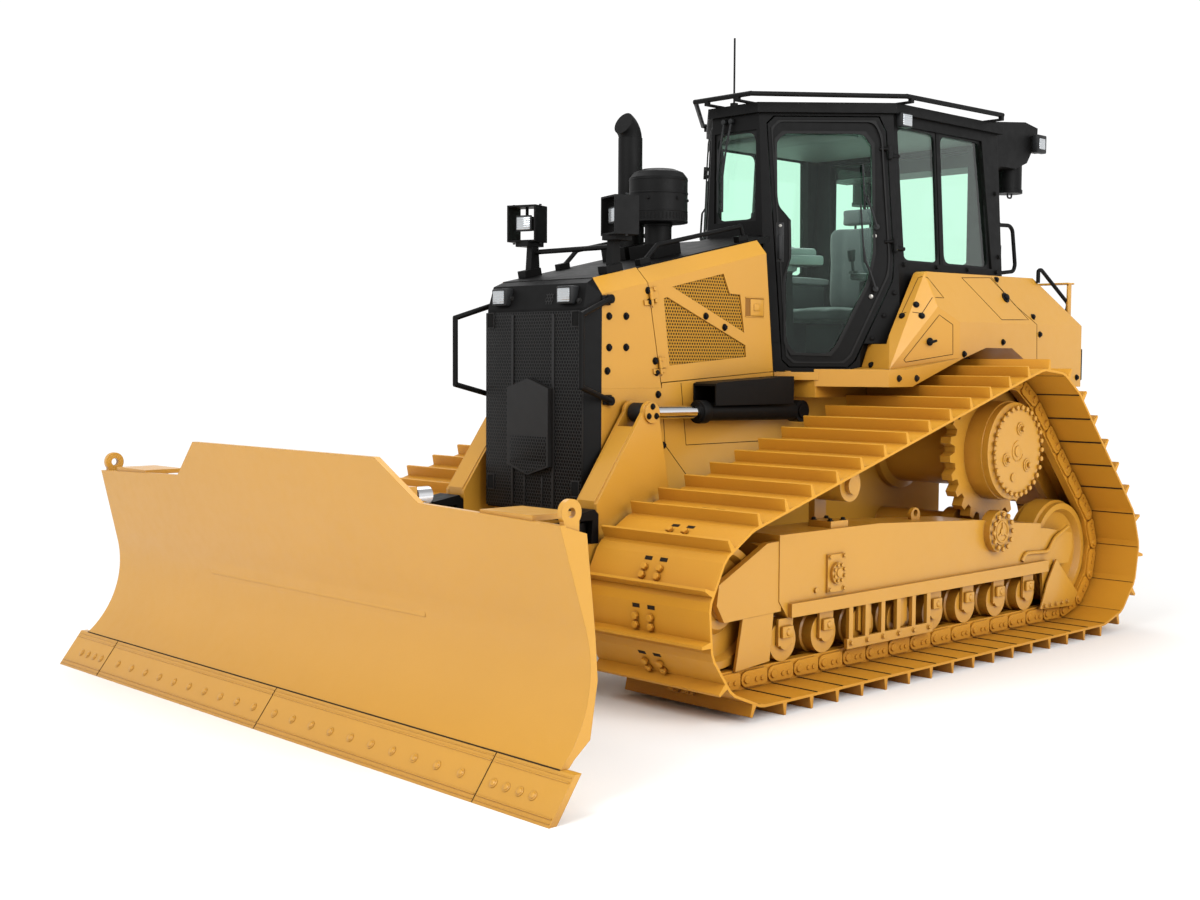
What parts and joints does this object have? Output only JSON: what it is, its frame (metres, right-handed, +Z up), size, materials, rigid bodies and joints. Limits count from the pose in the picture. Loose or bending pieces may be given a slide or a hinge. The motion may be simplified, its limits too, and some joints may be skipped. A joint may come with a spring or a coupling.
{
  "type": "bulldozer",
  "caption": "Low-ground-pressure bulldozer with raised-sprocket wide tracks, enclosed hexagonal cab, sloping hood and a six-way blade on a push frame worked by cylinders.",
  "frame": {"origin": "centre of the machine at ground level", "axes": "+X forward towards the blade, +Y to the left side, +Z up"},
  "size_m": [5.6695, 4.08, 3.66],
  "materials": {
    "yellow_paint": "satin yellow paint",
    "black_paint": "satin black paint",
    "chrome_rod": "hard chrome",
    "seat_fabric": "woven cloth",
    "glass": "tinted safety glass"
  },
  "bodies": {
    "chassis": {"track_left": "yellow_paint", "track_right": "yellow_paint", "track_frame_left": "yellow_paint", "track_frame_right": "yellow_paint", "idlers_left": "yellow_paint", "idlers_right": "yellow_paint", "rollers_left": "yellow_paint", "rollers_right": "yellow_paint", "sprocket_left": "yellow_paint", "sprocket_right": "yellow_paint", "final_drive_left": "yellow_paint", "final_drive_right": "yellow_paint", "main_frame": "yellow_paint", "engine": "black_paint", "radiator_guard": "black_paint", "grille": "black_paint", "nose": "black_paint", "hood_top": "black_paint", "hood_sides": "yellow_paint", "exhaust": "black_paint", "pre_cleaner": "black_paint", "work_lamps": "black_paint", "grab_rails": "black_paint", "cab_frame": "black_paint", "cab_roof": "black_paint", "cab_glass": "glass", "operator_seat": "seat_fabric", "console": "black_paint", "roof_rails": "black_paint", "antenna": "black_paint", "air_unit": "black_paint", "fender_left": "yellow_paint", "fender_right": "yellow_paint", "rear_tank": "yellow_paint", "deck": "yellow_paint", "drawbar": "yellow_paint", "cylinder_guards": "black_paint"},
    "push_frame": {"push_frame": "yellow_paint", "angle_guards": "black_paint"},
    "blade_yoke": {"blade_yoke": "yellow_paint"},
    "blade": {"blade": "yellow_paint", "cutting_edge": "yellow_paint"},
    "tilt_barrel": {"tilt_barrel": "black_paint"},
    "tilt_rod": {"tilt_rod": "chrome_rod"},
    "lift_barrel_left": {"lift_barrel_left": "black_paint"},
    "lift_barrel_right": {"lift_barrel_right": "black_paint"},
    "lift_rod_left": {"lift_rod_left": "chrome_rod"},
    "lift_rod_right": {"lift_rod_right": "chrome_rod"},
    "angle_barrel_left": {"angle_barrel_left": "black_paint"},
    "angle_barrel_right": {"angle_barrel_right": "black_paint"},
    "angle_rod_left": {"angle_rod_left": "chrome_rod"},
    "angle_rod_right": {"angle_rod_right": "chrome_rod"},
    "engine_door_left": {"engine_door_left": "yellow_paint"},
    "engine_door_right": {"engine_door_right": "yellow_paint"},
    "cab_door_left": {"cab_door_left": "black_paint", "door_glass_left": "glass"},
    "cab_door_right": {"cab_door_right": "black_paint", "door_glass_right": "glass"}
  },
  "joints": [
    {"name": "blade_lift", "type": "hinge", "parent": "chassis", "child": "push_frame", "pos_m": [0.56, 0, 0.64], "axis": [0, -1, 0], "range_deg": [-14, 24]},
    {"name": "blade_angle", "type": "hinge", "parent": "push_frame", "child": "blade_yoke", "pos_m": [2.13, 0, 0.575], "axis": [0, 0, 1], "range_deg": [-25, 25]},
    {"name": "blade_tilt", "type": "hinge", "parent": "blade_yoke", "child": "blade", "pos_m": [2.34, 0, 0.7], "axis": [1, 0, 0], "range_deg": [-8, 8]},
    {"name": "lift_barrel_left", "type": "hinge", "parent": "chassis", "child": "lift_barrel_left", "pos_m": [-0.465, 0.53, 1.42], "axis": [0, -1, 0], "range_deg": [-6, 6]},
    {"name": "lift_rod_left", "type": "slide", "parent": "lift_barrel_left", "child": "lift_rod_left", "axis": [0.9999, 0, 0.0131], "range_m": [-0.38, 0.24]},
    {"name": "angle_barrel_left", "type": "hinge", "parent": "push_frame", "child": "angle_barrel_left", "pos_m": [1.31, 0.54, 0.85], "axis": [0, 0, 1], "range_deg": [-10, 10]},
    {"name": "angle_rod_left", "type": "slide", "parent": "angle_barrel_left", "child": "angle_rod_left", "axis": [0.9979, 0.0654, 0], "range_m": [-0.3, 0.3]},
    {"name": "lift_barrel_right", "type": "hinge", "parent": "chassis", "child": "lift_barrel_right", "pos_m": [-0.465, -0.53, 1.42], "axis": [0, -1, 0], "range_deg": [-6, 6]},
    {"name": "lift_rod_right", "type": "slide", "parent": "lift_barrel_right", "child": "lift_rod_right", "axis": [0.9999, 0, 0.0131], "range_m": [-0.38, 0.24]},
    {"name": "angle_barrel_right", "type": "hinge", "parent": "push_frame", "child": "angle_barrel_right", "pos_m": [1.31, -0.54, 0.85], "axis": [0, 0, 1], "range_deg": [-10, 10]},
    {"name": "angle_rod_right", "type": "slide", "parent": "angle_barrel_right", "child": "angle_rod_right", "axis": [0.9979, -0.0654, 0], "range_m": [-0.3, 0.3]},
    {"name": "tilt_barrel", "type": "hinge", "parent": "blade_yoke", "child": "tilt_barrel", "pos_m": [2.29, -0.04, 1.09], "axis": [1, 0, 0], "range_deg": [-10, 10]},
    {"name": "tilt_rod", "type": "slide", "parent": "tilt_barrel", "child": "tilt_rod", "axis": [0, 1, 0], "range_m": [-0.08, 0.08]},
    {"name": "engine_door_left", "type": "hinge", "parent": "chassis", "child": "engine_door_left", "pos_m": [0.575, 0.441, 1.591], "axis": [-0.1961, 0, -0.9806], "range_deg": [0, 75]},
    {"name": "cab_door_left", "type": "hinge", "parent": "chassis", "child": "cab_door_left", "pos_m": [-1.0648, 0.77666, 2.4], "axis": [0.0185, -0.0764, 0.9969], "range_deg": [0, 75]},
    {"name": "engine_door_right", "type": "hinge", "parent": "chassis", "child": "engine_door_right", "pos_m": [0.575, -0.441, 1.591], "axis": [0.1961, 0, 0.9806], "range_deg": [0, 75]},
    {"name": "cab_door_right", "type": "hinge", "parent": "chassis", "child": "cab_door_right", "pos_m": [-1.0648, -0.77666, 2.4], "axis": [-0.0185, -0.0764, -0.9969], "range_deg": [0, 75]}
  ],
  "couplings": [
    {"joint": "lift_rod_left", "follows": "blade_lift", "m_per_rad": -0.8088},
    {"joint": "lift_barrel_left", "follows": "blade_lift", "ratio": 0.1863},
    {"joint": "angle_rod_left", "follows": "blade_angle", "m_per_rad": -0.5872},
    {"joint": "angle_barrel_left", "follows": "blade_angle", "ratio": 0.1453},
    {"joint": "lift_rod_right", "follows": "blade_lift", "m_per_rad": -0.8088},
    {"joint": "lift_barrel_right", "follows": "blade_lift", "ratio": 0.1863},
    {"joint": "angle_rod_right", "follows": "blade_angle", "m_per_rad": 0.5872},
    {"joint": "angle_barrel_right", "follows": "blade_angle", "ratio": 0.1453},
    {"joint": "tilt_rod", "follows": "blade_tilt", "m_per_rad": -0.3892},
    {"joint": "tilt_barrel", "follows": "blade_tilt", "ratio": 0.9335}
  ]
}
